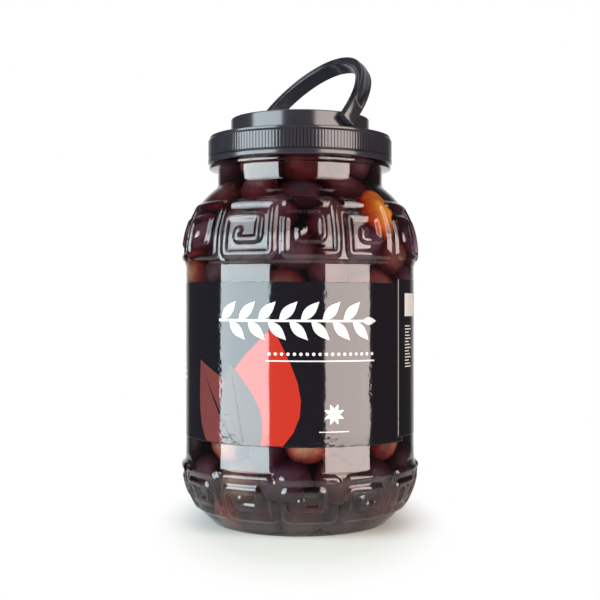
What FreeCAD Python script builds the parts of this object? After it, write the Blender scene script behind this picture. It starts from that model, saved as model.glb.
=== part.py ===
"""A tub of black olives: a clear jar with a square-spiral relief, its filling, its wrap label,
its screw lid and the carrying handle that swings on two pins in the lid.

The jar's axis is Z and the floor is Z = 0. The front looks along -Y. All sizes are millimetres.
"""

import FreeCAD
import Part

import math
import os

import Sketcher
from FreeCAD import Placement, Rotation, Vector

# ---------------------------------------------------------------------------------------------
# Driving sizes. Every one can be changed by itself.
# ---------------------------------------------------------------------------------------------

SIZES = [
    # the jar: base and lower band
    ("base_rise", 9.0, "height of the domed base above the floor"),
    ("foot_width", 4.3, "width of the ring that the jar stands on"),
    ("heel_reach", 2.87, "how far the heel stands out from that ring"),
    ("heel_height", 3.0, "where the rounded heel starts"),
    ("low_curve_radius", 43.9, "radius of the heel's curve"),
    ("band_step", 1.3, "how far both bands stand out from the panel, without their relief"),
    ("low_band_height", 37.0, "height of the lower band's widest point"),
    # the jar: label panel
    ("panel_radius", 72.5, "radius of the straight panel behind the label"),
    ("panel_bottom", 40.6, "height where the panel starts"),
    ("panel_height", 120.6, "height of the panel"),
    ("step_height", 2.0, "height of the step between panel and band"),
    # the jar: upper band, shoulder and neck
    ("shoulder_rise", 6.6, "from the upper step to the widest point of the shoulder"),
    ("shoulder_radius", 51.5, "radius of the shoulder's curve"),
    ("neck_radius", 52.4, "outside of the neck"),
    ("neck_fillet", 3.0, "hollow round between shoulder and neck"),
    ("neck_height", 9.4, "straight neck under the flange"),
    ("flange_reach", 5.5, "how far the carrying flange stands out from the neck"),
    ("flange_thickness", 2.1, "thickness of the flange"),
    ("finish_step", 1.2, "how much wider the neck is above the flange, without its thread"),
    ("finish_height", 16.9, "from the flange's top to the rim"),
    ("thread_depth", 1.6, "how far the thread stands out"),
    ("thread_width", 3.2, "height of the thread's root"),
    ("wall", 1.0, "wall of the jar's body"),
    ("base_wall", 1.6, "thickness of the base"),
    ("neck_wall", 2.6, "wall of the neck above the flange"),
    # the square-spiral relief
    ("relief_height", 1.5, "how far the ridges stand out"),
    ("relief_count", 12, "spirals round each band"),
    ("relief_phase", 5.2, "turn of the first spiral from the front, in degrees"),
    ("relief_gap", 2.6, "between one spiral and the next, in degrees"),
    ("ridge_width", 4.2, "width of a ridge"),
    ("ridge_pitch", 8.6, "from one turn of a ridge to the next, across"),
    ("low_relief_clear", 2.2, "from the lower spirals up to the panel"),
    ("low_relief_tall", 28.2, "height of the lower spirals"),
    ("high_relief_clear", 1.6, "from the upper step up to the upper spirals"),
    ("high_relief_tall", 34.8, "height of the upper spirals"),
    # what is in it and on it
    ("free_height", 5.866, "from the level of olives and brine up to the rim"),
    ("fill_gap", 0.05, "between the filling and the wall"),
    ("label_lift", 14.1, "from the panel's lower end up to the label"),
    ("label_height", 95.4, "height of the label"),
    ("label_thickness", 0.2, "thickness of the label"),
    ("label_gap", 0.05, "glue line under the label"),
    # the lid
    ("lid_wall", 1.8, "wall of the lid"),
    ("thread_clear", 0.6, "between the neck's thread and the lid's bore"),
    ("lid_clear", 1.0, "from the flange's top to the skirt's lower edge"),
    ("bead_depth", 1.1, "how far the band at the skirt's edge stands out"),
    ("bead_height", 4.0, "height of that band"),
    ("rib_depth", 0.95, "how far the grip ribs stand out"),
    ("rib_count", 176, "grip ribs round the skirt"),
    ("rib_height", 12.5, "height of the ribs"),
    ("edge_radius", 1.5, "rounding of the lid's upper edge"),
    ("lid_ring", 13.5, "width of the lid's ring round its raised disc"),
    ("disc_height", 11.3, "height of the disc above the ring round it"),
    ("disc_edge", 0.9, "rounding of the disc's edge"),
    # the handle
    ("hinge_height", 6.7, "hinge line above the ring of the lid"),
    ("hinge_turn", 37.0, "turn of the hinge line from the front, in degrees"),
    ("handle_lean", 36.5, "lean of the handle from upright, in degrees"),
    ("foot_clear", 0.8, "between the handle's feet and the disc"),
    ("strap_thickness", 5.8, "strap, across the bow"),
    ("strap_width", 9.4, "strap, along the axis of the bow"),
    ("handle_rise", 6.1, "straight part of the legs above the hinge line"),
    ("foot_end", 2.3, "end of the feet below the hinge line"),
    ("foot_block", 9.0, "full part of the feet above the hinge line"),
    ("channel_depth", 1.4, "depth of the channels in the strap's sides"),
    ("flange_rim", 1.3, "rim beside a channel"),
    ("apex_rib", 2.4, "half the rib between the channels at the top"),
    ("pin_radius", 1.6, "hinge pins"),
    ("pin_clear", 0.08, "clearance round the pins"),
    ("pin_reach", 0.7, "how far the pins pass through the disc's wall"),
]

doc = FreeCAD.newDocument("olive_tub")
sheet = doc.addObject("Spreadsheet::Sheet", "Sizes")
for row, (alias, value, note) in enumerate(SIZES, start=1):
    sheet.set(f"A{row}", alias)
    sheet.set(f"B{row}", str(value))
    sheet.set(f"C{row}", note)
    sheet.setAlias(f"B{row}", alias)
doc.recompute()


class Size:
    """A length that keeps both its number and the sheet's expression for it."""

    def __init__(self, value, text):
        self.value = float(value)
        self.text = text

    def __add__(self, other):
        other = as_size(other)
        return Size(self.value + other.value, f"({self.text} + {other.text})")

    def __sub__(self, other):
        other = as_size(other)
        return Size(self.value - other.value, f"({self.text} - {other.text})")

    def __mul__(self, other):
        other = as_size(other)
        return Size(self.value * other.value, f"({self.text} * {other.text})")

    def __neg__(self):
        return Size(-self.value, f"(0 - {self.text})")


def as_size(number):
    """Numbers may stand beside sizes in a sum."""
    if isinstance(number, Size):
        return number
    return Size(number, str(number))


def size(alias):
    """The value of one cell of the sheet."""
    return Size(sheet.get(alias), "Sizes." + alias)


def side(long_side, other_side):
    """The third side of a right-angled triangle."""
    square = long_side * long_side - other_side * other_side
    return Size(math.sqrt(square.value), f"sqrt({square.text})")


ZERO = Size(0, "0")

# ---------------------------------------------------------------------------------------------
# Sizes worked out from the driving ones
# ---------------------------------------------------------------------------------------------

panel_top = size("panel_bottom") + size("panel_height")
band_edge = panel_top + size("step_height")
band_radius = size("panel_radius") + size("band_step")
low_centre = band_radius - size("low_curve_radius")
high_centre = band_radius - size("shoulder_radius")
shoulder_height = band_edge + size("shoulder_rise")
heel_radius = low_centre + side(size("low_curve_radius"), size("low_band_height") - size("heel_height"))
foot_outer_radius = heel_radius - size("heel_reach")
foot_inner_radius = foot_outer_radius - size("foot_width")

relief_span = Size(360 / size("relief_count").value, "(360 / Sizes.relief_count)") - size("relief_gap")
low_relief_top = size("panel_bottom") - size("low_relief_clear")
low_relief_bottom = low_relief_top - size("low_relief_tall")
high_relief_bottom = band_edge + size("high_relief_clear")
high_relief_top = high_relief_bottom + size("high_relief_tall")

fillet_foot = size("neck_radius") + size("neck_fillet") * 0.5
shoulder_end = shoulder_height + side(size("shoulder_radius"), fillet_foot - high_centre)
neck_bottom = shoulder_end + size("neck_fillet")
flange_bottom = neck_bottom + size("neck_height")
flange_top = flange_bottom + size("flange_thickness")
rim_height = flange_top + size("finish_height")
flange_radius = size("neck_radius") + size("flange_reach")
finish_radius = size("neck_radius") + size("finish_step")
neck_bore_radius = finish_radius - size("neck_wall")
fill_height = rim_height - size("free_height")
label_bottom = size("panel_bottom") + size("label_lift")

lid_bore = finish_radius + size("thread_depth") + size("thread_clear")
lid_radius = lid_bore + size("lid_wall")
disc_radius = lid_radius - size("lid_ring")
lid_bottom = flange_top + size("lid_clear")
ring_top = rim_height + size("lid_wall")
disc_top = ring_top + size("disc_height")
hinge_level = ring_top + size("hinge_height")
bow_radius = disc_radius + size("foot_clear")

# ---------------------------------------------------------------------------------------------
# Helpers for sketches and features
# ---------------------------------------------------------------------------------------------


def origin_part(body, role):
    """One of the body's own origin planes or axes."""
    for feature in body.Origin.OriginFeatures:
        if feature.Role == role:
            return feature
    raise ValueError(role)


def new_body(name):
    body = doc.addObject("PartDesign::Body", name)
    body.Label = name
    return body


def new_sketch(body, name, plane="XZ_Plane", turn=None, lift=None, front=None):
    """A sketch on an origin plane, turned about the upright direction, lifted or brought forward."""
    sketch = body.newObject("Sketcher::SketchObject", name)
    sketch.AttachmentSupport = [(origin_part(body, plane), "")]
    sketch.MapMode = "FlatFace"
    upright = Vector(0, 1, 0) if plane == "XZ_Plane" else Vector(0, 0, 1)
    sketch.AttachmentOffset = Placement(Vector(), Rotation(upright, turn.value if turn else 0))
    if turn:
        sketch.setExpression("AttachmentOffset.Rotation.Angle", turn.text)
    if lift:
        height = "y" if plane == "XZ_Plane" else "z"
        sketch.setExpression(f"AttachmentOffset.Base.{height}", lift.text)
    if front:
        sketch.setExpression("AttachmentOffset.Base.x", f"{front.text} * sin({turn.text})")
        sketch.setExpression("AttachmentOffset.Base.z", f"{front.text} * cos({turn.text})")
    return sketch


def arc_between(start, end, radius):
    """The short arc from start to end. A radius above 0 bulges to the right of the way there."""
    chord = end - start
    half = chord.Length / 2
    across = Vector(chord.y, -chord.x, 0).normalize()
    depth = math.sqrt(max(radius * radius - half * half, 0.0))
    turn = 1 if radius > 0 else -1
    centre = (start + end) * 0.5 - across * depth * turn
    circle = Part.Circle(centre, Vector(0, 0, 1), abs(radius))
    first = math.atan2(start.y - centre.y, start.x - centre.x)
    last = math.atan2(end.y - centre.y, end.x - centre.x)
    if turn > 0:
        return Part.ArcOfCircle(circle, first, last), 1, 2
    return Part.ArcOfCircle(circle, last, first), 2, 1


def hold(sketch, kind, name, first, second, amount):
    """A measured constraint that follows the sheet."""
    points = first + second if second else first
    index = sketch.addConstraint(Sketcher.Constraint(kind, *points, abs(amount.value)))
    sketch.renameConstraint(index, name)
    sketch.setExpression(f"Constraints.{name}", amount.text)


def place_point(sketch, point, where, tag):
    """Ties one end of an edge to its two measured coordinates."""
    across, up = where
    for axis, amount, kind in ((-2, across, "DistanceX"), (-1, up, "DistanceY")):
        if amount.text == "0":
            sketch.addConstraint(Sketcher.Constraint("PointOnObject", *point, axis))
            continue
        ends = ((-1, 1), point) if amount.value > 0 else (point, (-1, 1))
        shown = amount if amount.value > 0 else -amount
        hold(sketch, kind, kind[-1].lower() + tag, *ends, shown)


def draw_loop(sketch, corners, bends=None, tag="p"):
    """A closed outline. Edge i runs from corner i to the next, and bends gives its radius."""
    bends = bends or {}
    ends = []
    for number, corner in enumerate(corners):
        follower = corners[(number + 1) % len(corners)]
        start = Vector(corner[0].value, corner[1].value, 0)
        end = Vector(follower[0].value, follower[1].value, 0)
        if number in bends:
            edge, first, last = arc_between(start, end, bends[number].value)
        else:
            edge, first, last = Part.LineSegment(start, end), 1, 2
        index = sketch.addGeometry(edge, False)
        ends.append(((index, first), (index, last)))
    for number, (first, last) in enumerate(ends):
        follower = ends[(number + 1) % len(ends)][0]
        sketch.addConstraint(Sketcher.Constraint("Coincident", *last, *follower))
        place_point(sketch, first, corners[number], f"{tag}{number}")
        if number in bends:
            bend = bends[number]
            shown = bend if bend.value > 0 else -bend
            hold(sketch, "Radius", f"r{tag}{number}", (first[0],), None, shown)


def box_loop(left, right, low, high):
    """The corners of an upright rectangle."""
    return [(left, low), (right, low), (right, high), (left, high)]


def turned(body, kind, name, sketch, axis="V_Axis"):
    """A Revolution or a Groove once round an axis of its sketch."""
    feature = body.newObject("PartDesign::" + kind, name)
    feature.Profile = sketch
    feature.ReferenceAxis = (sketch, [axis])
    feature.Angle = 360
    sketch.Visibility = False
    return feature


def padded(body, name, sketch, length, both_ways=False):
    feature = body.newObject("PartDesign::Pad", name)
    feature.Profile = sketch
    feature.setExpression("Length", length.text)
    if both_ways:
        feature.SideType = "Symmetric"
    return feature


def ring_pattern(body, name, original, count_text):
    """Copies of a feature round the jar's axis."""
    pattern = body.newObject("PartDesign::PolarPattern", name)
    pattern.Originals = [original]
    pattern.Axis = (origin_part(body, "Z_Axis"), [""])
    pattern.Angle = 360
    pattern.setExpression("Occurrences", count_text)
    body.Tip = pattern
    return pattern


# ---------------------------------------------------------------------------------------------
# The jar: a blown shell, turned outside and inside
# ---------------------------------------------------------------------------------------------


def outer_profile():
    """The jar without its relief, from the middle of the base up to the rim."""
    high_start = high_centre + side(size("shoulder_radius"), shoulder_height - band_edge)
    thread_low = flange_top + size("finish_height") * 0.5
    thread_high = thread_low + size("thread_width")
    slope = size("thread_depth") * 0.5
    thread_radius = finish_radius + size("thread_depth")
    corners = [
        (ZERO, size("base_rise")),
        (foot_inner_radius, ZERO),
        (foot_outer_radius, ZERO),
        (heel_radius, size("heel_height")),
        (band_radius, size("low_band_height")),
        (band_radius, size("panel_bottom") - size("step_height")),
        (size("panel_radius"), size("panel_bottom")),
        (size("panel_radius"), panel_top),
        (high_start, band_edge),
        (fillet_foot, shoulder_end),
        (size("neck_radius"), neck_bottom),
        (size("neck_radius"), flange_bottom),
        (flange_radius, flange_bottom),
        (flange_radius, flange_top),
        (finish_radius, flange_top),
        (finish_radius, thread_low),
        (thread_radius, thread_low + slope),
        (thread_radius, thread_high - slope),
        (finish_radius, thread_high),
        (finish_radius, rim_height),
        (ZERO, rim_height),
    ]
    bends = {
        3: size("low_curve_radius"),
        8: size("shoulder_radius"),
        9: -(size("neck_fillet") * 1.5),
    }
    return corners, bends


def inner_profile(skin, floor, bore, top):
    """The inside of the jar, or a filling that keeps a gap to it, up to a given height."""
    low_curve = size("low_curve_radius") - skin
    high_curve = size("shoulder_radius") - skin
    heel_height = size("heel_height") + floor
    heel = low_centre + side(low_curve, size("low_band_height") - heel_height)
    high_start = high_centre + side(high_curve, size("shoulder_rise"))
    shoulder_top = shoulder_height + side(high_curve, fillet_foot - high_centre)
    corners = [
        (ZERO, size("base_rise") + floor),
        (foot_inner_radius, floor),
        (foot_outer_radius - skin, floor),
        (heel, heel_height),
        (band_radius - skin, size("low_band_height")),
        (band_radius - skin, size("panel_bottom") - size("step_height")),
        (size("panel_radius") - skin, size("panel_bottom")),
        (size("panel_radius") - skin, panel_top),
        (high_start, band_edge),
        (fillet_foot, shoulder_top),
        (bore, neck_bottom),
        (bore, top),
        (ZERO, top),
    ]
    bends = {3: low_curve, 8: high_curve}
    return corners, bends


def spiral_way(low, high):
    """The middle line of one square spiral, as (share of the half width, height) corners.

    Seen from outside it starts at the upper left, runs round clockwise and ends in the middle.
    """
    half_width = math.radians(relief_span.value / 2) * band_radius.value
    edge = size("ridge_width").value / 2
    pitch = size("ridge_pitch").value
    rise = (high - low) / 2
    middle = (high + low) / 2
    upright_pitch = pitch * rise / half_width
    right = half_width - edge
    top = rise - edge
    inner_right = right - pitch
    inner_top = top - upright_pitch
    end = -inner_top + upright_pitch * 0.75
    way = [
        (-right, top), (right, top), (right, -top), (-right, -top),
        (-right, inner_top), (inner_right, inner_top), (inner_right, -inner_top),
        (-inner_right, -inner_top), (-inner_right, end),
    ]
    return [(across / half_width, middle + up) for across, up in way]


def band_surface(height):
    """Radius of the jar's skin behind the relief, at a height."""
    if height < panel_top.value:
        curve, centre, level = size("low_curve_radius"), low_centre, size("low_band_height")
    else:
        curve, centre, level = size("shoulder_radius"), high_centre, shoulder_height
    drop = min(height - level.value, 0) if height < panel_top.value else height - level.value
    return centre.value + math.sqrt(curve.value ** 2 - drop ** 2)


def strip_outline(way, width):
    """The outline of a flat strip of one width along a way, with square ends."""
    forward, back = [], []
    for number, point in enumerate(way):
        before = (point - way[number - 1]).normalize() if number else None
        after = (way[number + 1] - point).normalize() if number + 1 < len(way) else None
        before = before or after
        after = after or before
        left = (Vector(-before.y, before.x, 0) + Vector(-after.y, after.x, 0)).normalize()
        reach = width / 2 / left.dot(Vector(-before.y, before.x, 0))
        forward.append(point + left * reach)
        back.append(point - left * reach)
    return forward + back[::-1]


def cut_corners(points, cut):
    """The edges of a closed outline with every corner cut off, by less than half an edge."""
    count = len(points)
    corners = []
    for number, point in enumerate(points):
        for neighbour in (points[number - 1], points[(number + 1) % count]):
            way = neighbour - point
            corners.append(point + way.normalize() * min(cut, way.Length * 0.4))
    edges = []
    for number, corner in enumerate(corners):
        edges.append(Part.LineSegment(corner, corners[(number + 1) % len(corners)]))
    return edges


def add_relief(body):
    """One spiral ridge for each band, padded outwards from behind the skin and repeated all round."""
    half_span = math.radians(relief_span.value / 2)
    width = size("ridge_width").value
    behind = size("neck_radius") + size("neck_fillet") * 3
    sketch = new_sketch(body, "spiral_outlines", turn=size("relief_phase"), front=behind)
    for low, high in ((low_relief_bottom, low_relief_top), (high_relief_bottom, high_relief_top)):
        way = []
        for share, height in spiral_way(low.value, high.value):
            across = band_surface(height) * math.sin(half_span) * share
            way.append(Vector(across, height, 0))
        for edge in cut_corners(strip_outline(way, width), width * 0.3):
            sketch.addGeometry(edge, False)
    reach = band_radius + size("relief_height") * 2 - behind
    ridges = padded(body, "ridges", sketch, reach)
    return ring_pattern(body, "ridges_all_round", ridges, "Sizes.relief_count")


def trim_relief(body):
    """Turns the ridges down to one height above the skin."""
    tall = size("relief_height")
    beyond = band_radius * 1.2
    low_curve = size("low_curve_radius") + tall
    high_curve = size("shoulder_radius") + tall
    low_edge = low_relief_bottom - tall * 2
    low_start = low_centre + side(low_curve, size("low_band_height") - low_edge)
    crest = band_radius + tall
    high_edge = high_relief_top + tall
    high_end = high_centre + side(high_curve, high_edge - shoulder_height)
    low_loop = [
        (low_start, low_edge), (beyond, low_edge), (beyond, size("panel_bottom")),
        (crest, size("panel_bottom")), (crest, size("low_band_height")),
    ]
    high_loop = [
        (high_centre + side(high_curve, size("shoulder_rise")), band_edge),
        (beyond, band_edge), (beyond, high_edge), (high_end, high_edge),
    ]
    sketch = new_sketch(body, "relief_trim_profile")
    draw_loop(sketch, low_loop, {4: -low_curve}, "l")
    draw_loop(sketch, high_loop, {3: -high_curve}, "h")
    turned(body, "Groove", "relief_trim", sketch)


def make_jar():
    body = new_body("jar")
    sketch = new_sketch(body, "jar_outside")
    draw_loop(sketch, *outer_profile())
    turned(body, "Revolution", "jar_form", sketch)
    add_relief(body)
    trim_relief(body)
    sketch = new_sketch(body, "jar_inside")
    past_rim = rim_height + size("wall")
    draw_loop(sketch, *inner_profile(size("wall"), size("base_wall"), neck_bore_radius, past_rim))
    turned(body, "Groove", "jar_hollow", sketch)
    return body


def make_contents():
    """Olives and brine as one solid, up to the level of the filling."""
    body = new_body("contents")
    gap = size("fill_gap")
    sketch = new_sketch(body, "contents_profile")
    profile = inner_profile(size("wall") + gap, size("base_wall") + gap, neck_bore_radius - gap, fill_height)
    draw_loop(sketch, *profile)
    turned(body, "Revolution", "contents_form", sketch)
    return body


def make_label():
    """The wrap label, glued round the panel."""
    body = new_body("label")
    inner = size("panel_radius") + size("label_gap")
    sketch = new_sketch(body, "label_profile")
    top = label_bottom + size("label_height")
    draw_loop(sketch, box_loop(inner, inner + size("label_thickness"), label_bottom, top))
    turned(body, "Revolution", "label_form", sketch)
    return body


# ---------------------------------------------------------------------------------------------
# The lid: skirt with grip ribs, ring and raised disc
# ---------------------------------------------------------------------------------------------


def lid_profile():
    """Half of the lid's section."""
    bead = lid_radius + size("bead_depth")
    bead_slope = size("bead_depth") * 0.6
    bead_top = lid_bottom + size("bead_height")
    edge = size("edge_radius")
    round_edge = size("disc_edge")
    inner_disc = disc_radius - size("lid_wall")
    corners = [
        (lid_bore, lid_bottom),
        (lid_radius, lid_bottom),
        (bead, lid_bottom + bead_slope),
        (bead, bead_top - bead_slope),
        (lid_radius, bead_top),
        (lid_radius, ring_top - edge),
        (lid_radius - edge, ring_top),
        (disc_radius, ring_top),
        (disc_radius, disc_top - round_edge),
        (disc_radius - round_edge, disc_top),
        (ZERO, disc_top),
        (ZERO, disc_top - size("lid_wall")),
        (inner_disc, disc_top - size("lid_wall")),
        (inner_disc, rim_height),
        (lid_bore, rim_height),
    ]
    bends = {5: edge, 8: round_edge}
    return corners, bends


def rib_ring(sketch):
    """A toothed ring: one blunt ridge for each grip rib, and a plain circle inside."""
    count = int(size("rib_count").value)
    root = lid_radius.value - size("lid_wall").value * 0.25
    crest = lid_radius.value + size("rib_depth").value
    pitch = 2 * math.pi / count
    valley = lid_radius.value + size("rib_depth").value * 0.05
    points = []
    for number in range(count):
        for share, radius in ((0.0, valley), (0.28, crest), (0.62, crest), (0.9, valley)):
            angle = (number + share) * pitch
            points.append(Vector(radius * math.cos(angle), radius * math.sin(angle), 0))
    for number, point in enumerate(points):
        sketch.addGeometry(Part.LineSegment(point, points[(number + 1) % len(points)]), False)
    sketch.addGeometry(Part.Circle(Vector(), Vector(0, 0, 1), root), False)


def make_lid():
    body = new_body("lid")
    sketch = new_sketch(body, "lid_section")
    draw_loop(sketch, *lid_profile())
    turned(body, "Revolution", "lid_form", sketch)
    rib_bottom = lid_bottom + size("bead_height")
    sketch = new_sketch(body, "rib_outline", plane="XY_Plane", lift=rib_bottom)
    rib_ring(sketch)
    padded(body, "grip_ribs", sketch, size("rib_height"))
    add_rib_slope(body, rib_bottom + size("rib_height"))
    sketch = new_sketch(body, "pin_bore_section", turn=size("hinge_turn") - 90, lift=hinge_level)
    depth = size("lid_wall") + size("pin_reach")
    bore = size("pin_radius") + size("pin_clear")
    outside = disc_radius + size("foot_clear")
    draw_loop(sketch, box_loop(disc_radius - depth, outside, ZERO, bore))
    hole = turned(body, "Groove", "pin_bore", sketch, axis="H_Axis")
    ring_pattern(body, "pin_bores", hole, "2")
    return body


def add_rib_slope(body, rib_top):
    """Slopes the upper ends of the ribs into the lid's rounded edge."""
    crest = lid_radius + size("rib_depth")
    past = crest + size("rib_depth")
    sketch = new_sketch(body, "rib_slope_section")
    corners = [
        (lid_radius, rib_top),
        (past, rib_top - size("rib_depth") * 2),
        (past, rib_top + size("rib_depth")),
        (lid_radius, rib_top + size("rib_depth")),
    ]
    draw_loop(sketch, corners)
    turned(body, "Groove", "rib_slope", sketch)


# ---------------------------------------------------------------------------------------------
# The handle: a bow with channelled sides, hung on two pins
# ---------------------------------------------------------------------------------------------


def bow_outline(grow):
    """The legs and the half-round bow, inside or outside of the strap."""
    reach = bow_radius + grow
    rise = size("handle_rise")
    return reach, [(reach, rise), (ZERO, rise + reach), (-reach, rise)]


def draw_bow(sketch):
    """The whole outline of the strap, feet included."""
    outer, outside = bow_outline(size("strap_thickness"))
    inner, inside = bow_outline(ZERO)
    low = -size("foot_end")
    corners = [(outer, low)] + outside + [(-outer, low), (-inner, low)] + inside[::-1] + [(inner, low)]
    draw_loop(sketch, corners, {1: outer, 2: outer, 6: -inner, 7: -inner}, "b")


def draw_channels(sketch):
    """The two channels beside the rib at the top."""
    outer = bow_radius + size("strap_thickness") - size("flange_rim")
    inner = bow_radius + size("flange_rim")
    rise = size("handle_rise")
    rib = size("apex_rib")
    low = size("foot_block")
    for hand, tag in ((1, "c"), (-1, "d")):
        points = []
        for radius in (outer, inner):
            points.append((side(radius, low - rise), low))
            points.append((rib, rise + side(radius, rib)))
        order = [points[0], points[1], points[3], points[2]]
        bends = {0: outer, 2: -inner}
        if hand < 0:
            order = [(-across, up) for across, up in order]
            bends = {0: -outer, 2: inner}
        draw_loop(sketch, order, bends, tag)


def make_handle():
    body = new_body("handle")
    sketch = new_sketch(body, "web_outline")
    draw_bow(sketch)
    padded(body, "web", sketch, size("strap_width") - size("channel_depth") * 2, both_ways=True)
    sketch = new_sketch(body, "strap_outline")
    draw_bow(sketch)
    draw_channels(sketch)
    padded(body, "strap", sketch, size("strap_width"), both_ways=True)
    sketch = new_sketch(body, "pin_section")
    tip = disc_radius - size("lid_wall") - size("pin_reach") * 0.5
    draw_loop(sketch, box_loop(tip, bow_radius + size("strap_thickness") * 0.5, ZERO, size("pin_radius")))
    pin = turned(body, "Revolution", "pin", sketch, axis="H_Axis")
    mirror = body.newObject("PartDesign::Mirrored", "pins")
    mirror.Originals = [pin]
    mirror.MirrorPlane = (origin_part(body, "YZ_Plane"), [""])
    body.Tip = mirror
    turn = Rotation(Vector(0, 0, 1), size("hinge_turn").value - 90)
    lean = Rotation(Vector(1, 0, 0), -size("handle_lean").value)
    body.Placement = Placement(Vector(0, 0, hinge_level.value), turn * lean)
    body.setExpression("Placement.Base.z", hinge_level.text)
    return body


# ---------------------------------------------------------------------------------------------
# Build, check and write
# ---------------------------------------------------------------------------------------------


def write_parts(bodies):
    """Stops at a failed feature or a broken solid, then writes one file for each sub-part."""
    doc.recompute()
    for item in doc.Objects:
        if "Invalid" in item.State or "Error" in item.State:
            raise RuntimeError(f"{item.Name} failed: {item.State}")
    for body in bodies:
        if body.Shape.isNull() or not body.Shape.isValid():
            raise RuntimeError(f"{body.Label} has no valid shape")
    os.makedirs("parts", exist_ok=True)
    for body in bodies:
        body.Shape.exportStep(f"parts/{body.Label}.step")
        box = body.Shape.BoundBox
        print(
            f"{body.Label:10s} volume {body.Shape.Volume / 1000:8.1f} cm3   solids {len(body.Shape.Solids)}"
            f"   faces {len(body.Shape.Faces)}   z {box.ZMin:.2f} to {box.ZMax:.2f}"
        )


write_parts([make_jar(), make_contents(), make_label(), make_lid(), make_handle()])
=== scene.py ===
import math

import bmesh
import bpy
import numpy as np
from bmesh.types import BMEdge, BMFace, BMVert
from mathutils import Matrix, Vector


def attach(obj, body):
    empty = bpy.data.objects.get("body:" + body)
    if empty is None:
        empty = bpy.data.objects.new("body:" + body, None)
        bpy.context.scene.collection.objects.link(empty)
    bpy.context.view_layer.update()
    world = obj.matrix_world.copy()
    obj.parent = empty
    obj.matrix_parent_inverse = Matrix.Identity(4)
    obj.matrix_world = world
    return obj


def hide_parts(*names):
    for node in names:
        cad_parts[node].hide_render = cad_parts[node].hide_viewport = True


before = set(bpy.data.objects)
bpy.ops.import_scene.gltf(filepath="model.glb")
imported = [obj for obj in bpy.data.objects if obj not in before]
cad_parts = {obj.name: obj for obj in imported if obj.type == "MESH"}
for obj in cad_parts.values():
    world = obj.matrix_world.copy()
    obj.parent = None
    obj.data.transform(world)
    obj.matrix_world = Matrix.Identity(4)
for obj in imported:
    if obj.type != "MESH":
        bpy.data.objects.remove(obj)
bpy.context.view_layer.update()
print("solids:", sorted(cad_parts))

# %% [markdown]
# # A tub of black olives
# Five solids come in: jar, contents, label, lid and handle. Each is replaced by pieces with the
# finish of the real thing. Everything below is measured in millimetres, because that is how a
# bottle maker thinks, and each mesh is scaled to metres once, when it becomes an object.

# %% Units, colours and nodes
MM = 0.001
FULL_TURN = math.tau


def linear(code):
    """An sRGB hex value as the linear colour that the renderer works with."""
    shares = [int(code[place : place + 2], 16) / 255 for place in (0, 2, 4)]
    bent = [c / 12.92 if c <= 0.04045 else ((c + 0.055) / 1.055) ** 2.4 for c in shares]
    return (*bent, 1.0)


def add_node(tree, kind, sockets=None, stops=None, **settings):
    """Adds a shader node, with its settings, its ramp stops, and a value or a link for each socket.

    A node given for a socket stands for its own first output.
    """
    node = tree.nodes.new("ShaderNode" + kind)
    for name, value in settings.items():
        setattr(node, name, value)
    for name, value in (sockets or {}).items():
        value = value.outputs[0] if isinstance(value, bpy.types.Node) else value
        if isinstance(value, bpy.types.NodeSocket):
            tree.links.new(value, node.inputs[name])
        else:
            node.inputs[name].default_value = value
    if stops:
        elements = node.color_ramp.elements
        while len(elements) < len(stops):
            elements.new(0.5)
        for element, (place, colour) in zip(elements, stops):
            element.position, element.color = place, colour
    return node


def start_material(name):
    """An empty node material and its tree."""
    material = bpy.data.materials.new(name)
    material.use_nodes = True
    material.node_tree.nodes.clear()
    return material, material.node_tree


def finish_material(material, skin, height=None, strength=0.0, depth=0.0):
    """Gives a material its skin, with a bump some millimetres deep where there is a height."""
    tree = material.node_tree
    if height is not None:
        sockets = {"Height": height, "Strength": strength, "Distance": depth * MM}
        skin = {**skin, "Normal": add_node(tree, "Bump", sockets)}
    shader = add_node(tree, "BsdfPrincipled", skin)
    add_node(tree, "OutputMaterial", {"Surface": shader})
    return material


print("black of the label, linear:", [round(c, 4) for c in linear("1B171D")[:3]])

# %% [markdown]
# ## Turning a section round an axis
# A jar, its filling and a lid are turned shapes. One could stack cylinders, but a half section that
# is spun gives every step and curve in one go. The section is written as corners, each with its own
# small rounding, because moulded plastic has no knife edges and those roundings catch the light. A
# spin gets slower as its mesh grows, so one sector is spun, and copies of it are turned and welded.

# %% Helpers for turned shapes


def bend(start, end, radius, steps):
    """Points after start, up to end, on the short arc between them. Below 0 the arc is hollow."""
    start, end = Vector(start), Vector(end)
    chord = end - start
    across = Vector((chord.y, -chord.x)).normalized()
    depth = math.sqrt(radius * radius - chord.length_squared / 4)
    centre = (start + end) / 2 - across * math.copysign(depth, radius)
    first, last = start - centre, end - centre
    sweep = first.angle_signed(last)
    spots = [centre + Matrix.Rotation(-sweep * step / steps, 2) @ first for step in range(1, steps + 1)]
    return [(spot.x, spot.y) for spot in spots]


def rounded(corners, steps=3, support=0.0):
    """An outline from (radius, height) or (radius, height, rounding) corners.

    A support above 0 adds a point that far beside each rounding, so that shading stays flat past it.
    """
    points = []
    for number, corner in enumerate(corners):
        if len(corner) == 2:
            points.append(tuple(corner))
            continue
        here = Vector(corner[:2])
        sides = [Vector(corners[number + way][:2]) - here for way in (-1, 1)]
        cuts = [here + side.normalized() * min(corner[2], side.length * 0.4) for side in sides]
        beside_in, beside_out = (cut + (cut - here).normalized() * support for cut in cuts)
        arc = []
        for step in range(steps + 1):
            share = step / steps
            arc.append(cuts[0].lerp(here, share).lerp(here.lerp(cuts[1], share), share))
        if support:
            arc = [beside_in] + arc + [beside_out]
        points += [(spot.x, spot.y) for spot in arc]
    return points


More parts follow.
